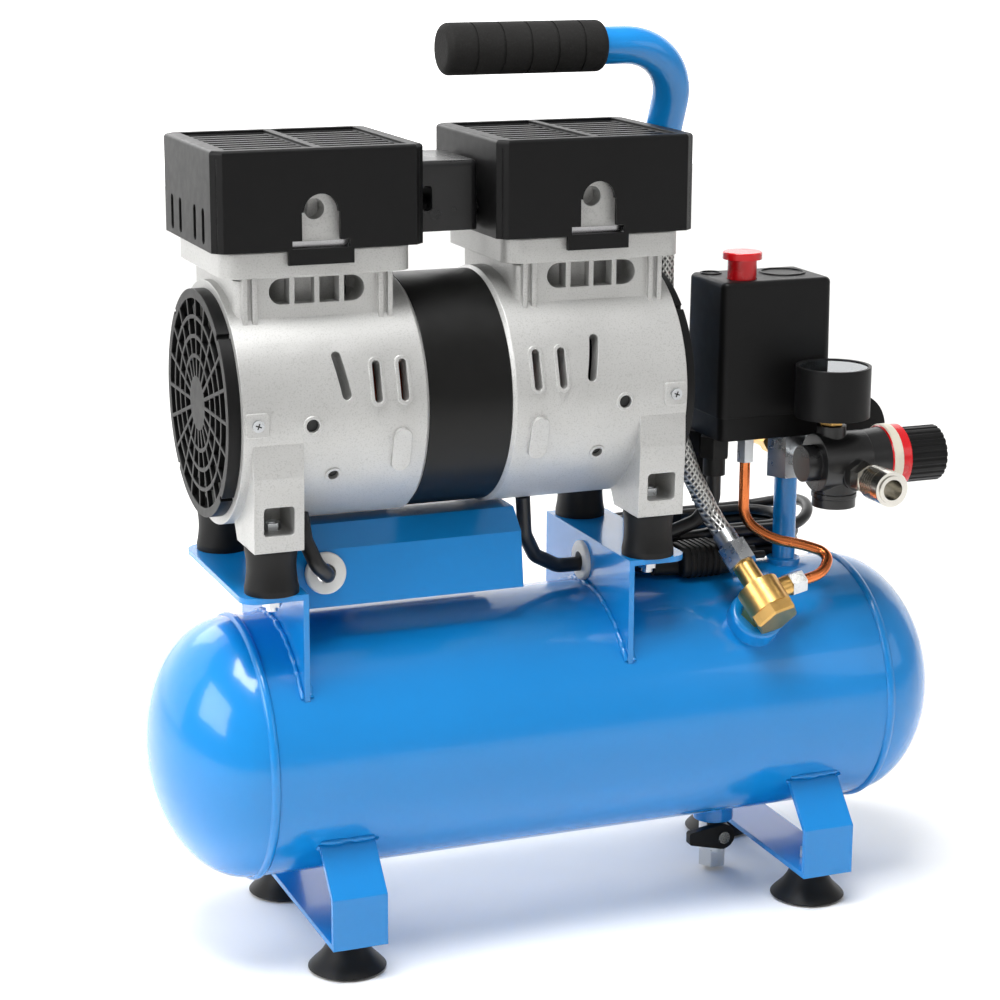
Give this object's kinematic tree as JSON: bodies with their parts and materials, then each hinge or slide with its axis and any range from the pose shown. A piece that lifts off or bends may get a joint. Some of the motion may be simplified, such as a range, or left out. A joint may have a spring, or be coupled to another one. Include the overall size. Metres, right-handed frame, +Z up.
{
  "type": "air compressor",
  "caption": "Small oil-free air compressor: twin-head electric pump on a horizontal tank with legs, pressure switch, regulator, gauges, quick coupling and carrying handle.",
  "frame": {"origin": "on the floor, midway between the four feet, under the middle of the tank", "axes": "+X along the tank towards the pressure switch and regulator, +Y to the back, +Z up"},
  "size_m": [0.4528, 0.177, 0.4875],
  "materials": {
    "blue_enamel": "gloss",
    "cast_aluminium": "fine cast",
    "black_shell": "satin moulded",
    "black_rubber": "matt",
    "foam_grip": "foam",
    "zinc_plate": "zinc plated",
    "band_black": "satin",
    "core_steel": "bare laminations",
    "copper_wire": "enamelled",
    "bright_copper": "drawn",
    "bearing_steel": "ground",
    "brass_body": "machined",
    "nickel_plate": "nickel plated",
    "red_plastic": "gloss",
    "clear_lens": "clear",
    "needle_black": "matt",
    "white_rubber": "matt",
    "braided_steel": "braided",
    "black_cable": "sheath",
    "capacitor_white": "gloss",
    "dark_cast": "satin"
  },
  "bodies": {
    "frame": {"tank_barrel": "blue_enamel", "tank_ends": "blue_enamel", "leg_brackets": "blue_enamel", "rubber_feet": "black_rubber", "machine_screws": "zinc_plate", "left_motor_bracket": "blue_enamel", "right_motor_bracket": "blue_enamel", "rubber_mounts": "black_rubber", "wiring_cover": "blue_enamel", "capacitor": "capacitor_white", "cable_grommets": "white_rubber", "left_motor_housing": "cast_aluminium", "right_motor_housing": "cast_aluminium", "stator_band": "band_black", "stator_core": "core_steel", "windings": "copper_wire", "shaft_bearings": "bearing_steel", "cylinder_liners": "cast_aluminium", "valve_plates": "bearing_steel", "cylinder_heads": "cast_aluminium", "left_head_cover": "black_shell", "right_head_cover": "black_shell", "crossover_block": "dark_cast", "fan_grilles": "black_shell", "switch_base": "black_shell", "switch_cover": "black_shell", "cable_glands": "black_rubber", "riser_tube": "blue_enamel", "manifold": "zinc_plate", "safety_valve": "brass_body", "regulator_body": "dark_cast", "lock_ring": "red_plastic", "gauge_cases": "black_shell", "gauge_lenses": "clear_lens", "coupler_body": "nickel_plate", "check_valve": "brass_body", "line_fittings": "zinc_plate", "braided_hose": "braided_steel", "copper_tube": "bright_copper", "drain_valve": "nickel_plate", "handle_tube": "blue_enamel", "handle_grip": "foam_grip", "motor_leads": "black_cable", "mains_cord": "black_cable", "mains_hank": "black_cable", "mains_plug": "black_rubber"},
    "rotor": {"rotor_shaft": "bearing_steel", "rotor_core": "core_steel", "eccentrics": "core_steel", "cooling_fans": "black_shell"},
    "left_piston": {"left_piston_rod": "cast_aluminium"},
    "right_piston": {"right_piston_rod": "cast_aluminium"},
    "button": {"switch_button": "red_plastic"},
    "adjuster": {"adjusting_screw": "zinc_plate"},
    "knob": {"regulator_knob": "black_shell"},
    "outlet_pointer": {"outlet_needle": "needle_black"},
    "tank_pointer": {"tank_needle": "needle_black"},
    "sleeve": {"coupler_sleeve": "nickel_plate"},
    "relief_ring": {"safety_ring": "zinc_plate"},
    "lever": {"drain_lever": "black_shell"}
  },
  "joints": [
    {"name": "rotor_spin", "type": "hinge", "parent": "frame", "child": "rotor", "pos_m": [-0.06925, 0, 0.2979], "axis": [1, 0, 0], "continuous": true},
    {"name": "left_piston_stroke", "type": "slide", "parent": "frame", "child": "left_piston", "axis": [0, 0, 1], "range_m": [-0.004, 0.004]},
    {"name": "right_piston_stroke", "type": "slide", "parent": "frame", "child": "right_piston", "axis": [0, 0, 1], "range_m": [-0.004, 0.004]},
    {"name": "button_press", "type": "slide", "parent": "frame", "child": "button", "axis": [0, 0, -1], "range_m": [0, 0.007]},
    {"name": "regulator_turn", "type": "hinge", "parent": "frame", "child": "adjuster", "pos_m": [0.18, -0.045, 0.249], "axis": [1, 0, 0], "range_deg": [-720, 720]},
    {"name": "knob_lift", "type": "slide", "parent": "adjuster", "child": "knob", "axis": [1, 0, 0], "range_m": [0, 0.003]},
    {"name": "outlet_reading", "type": "hinge", "parent": "frame", "child": "outlet_pointer", "pos_m": [0.148, -0.045, 0.296], "axis": [0, 0, -1], "range_deg": [0, 270]},
    {"name": "tank_reading", "type": "hinge", "parent": "frame", "child": "tank_pointer", "pos_m": [0.186, 0.016, 0.255], "axis": [0, -1, 0], "range_deg": [0, 270]},
    {"name": "sleeve_release", "type": "slide", "parent": "frame", "child": "sleeve", "axis": [0, 1, 0], "range_m": [0, 0.0035], "stiffness_N_per_m": 1500},
    {"name": "relief_pull", "type": "slide", "parent": "frame", "child": "relief_ring", "axis": [0, 1, 0], "range_m": [0, 0.0025], "stiffness_N_per_m": 2000},
    {"name": "drain_turn", "type": "hinge", "parent": "frame", "child": "lever", "pos_m": [0.1045, -0.01, 0.0235], "axis": [0, -1, 0], "range_deg": [0, 90]}
  ]
}
